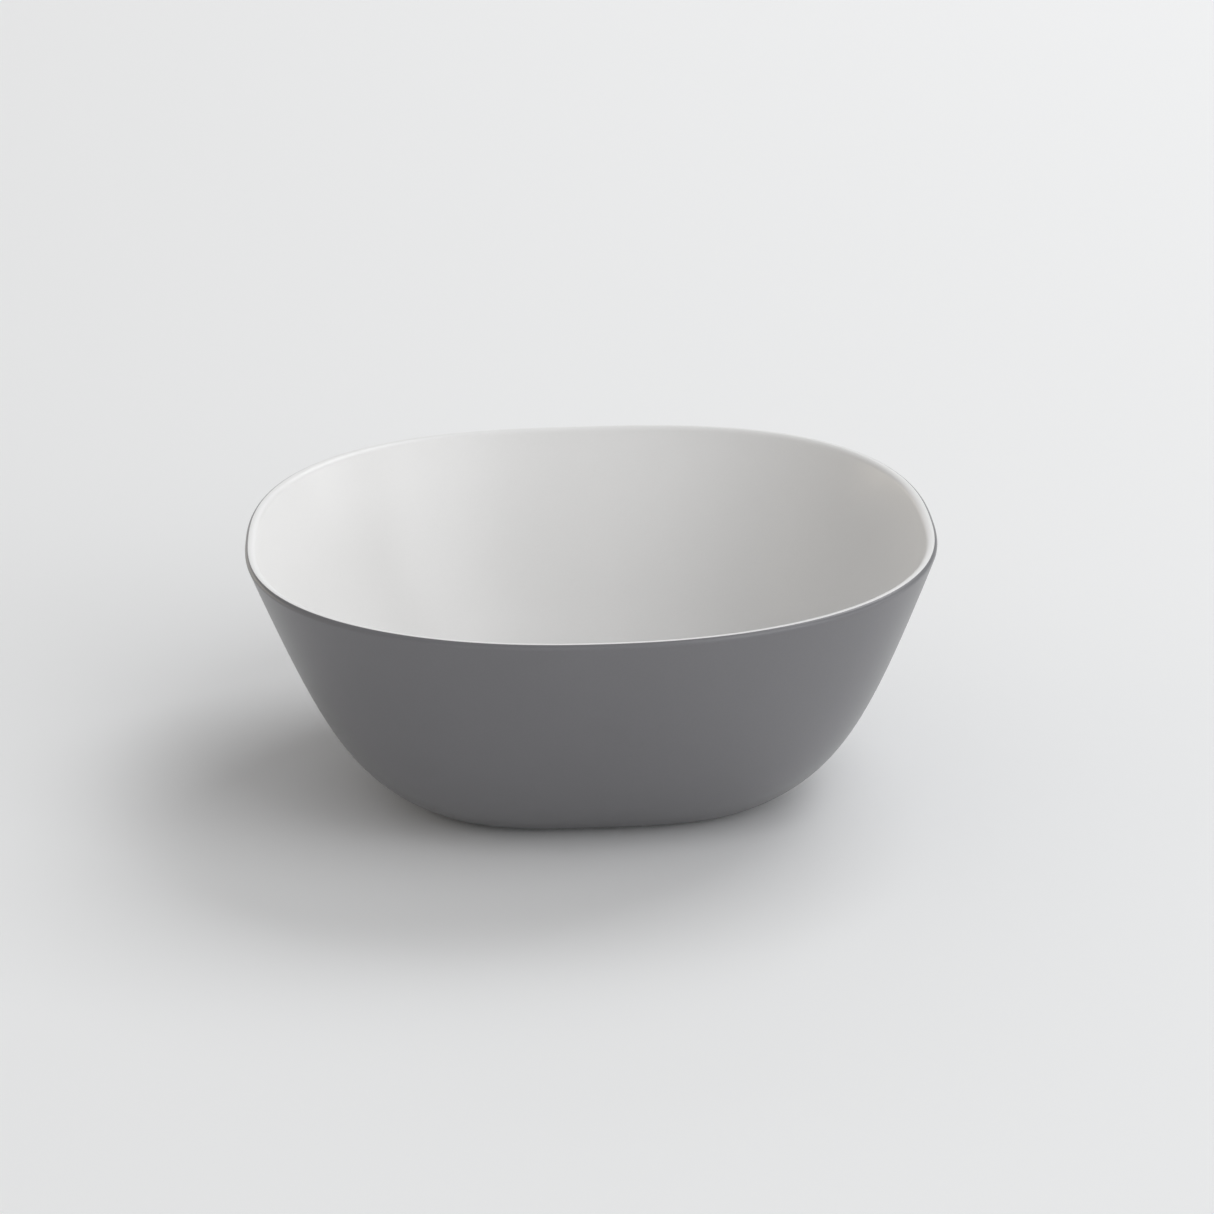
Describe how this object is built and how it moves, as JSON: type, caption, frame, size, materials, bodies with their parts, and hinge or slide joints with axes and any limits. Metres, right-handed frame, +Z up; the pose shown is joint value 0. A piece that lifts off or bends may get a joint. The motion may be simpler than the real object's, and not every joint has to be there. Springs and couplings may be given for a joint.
{
  "type": "serving bowl",
  "caption": "Rounded-square serving bowl with flared sides on a low foot, a grey outer shell fused to an off-white liner that wraps the inside and most of the rim.",
  "frame": {"origin": "middle of the foot, on the surface the bowl stands on", "axes": "+Z up along the bowl's axis; +X and +Y square to two neighbouring sides"},
  "size_m": [0.2544, 0.2544, 0.0952],
  "materials": {
    "grey_melamine": "satin moulded melamine, mid grey",
    "off_white_melamine": "satin moulded melamine, off-white"
  },
  "bodies": {
    "root": {"outer_shell": "grey_melamine", "inner_liner": "off_white_melamine"}
  },
  "joints": []
}
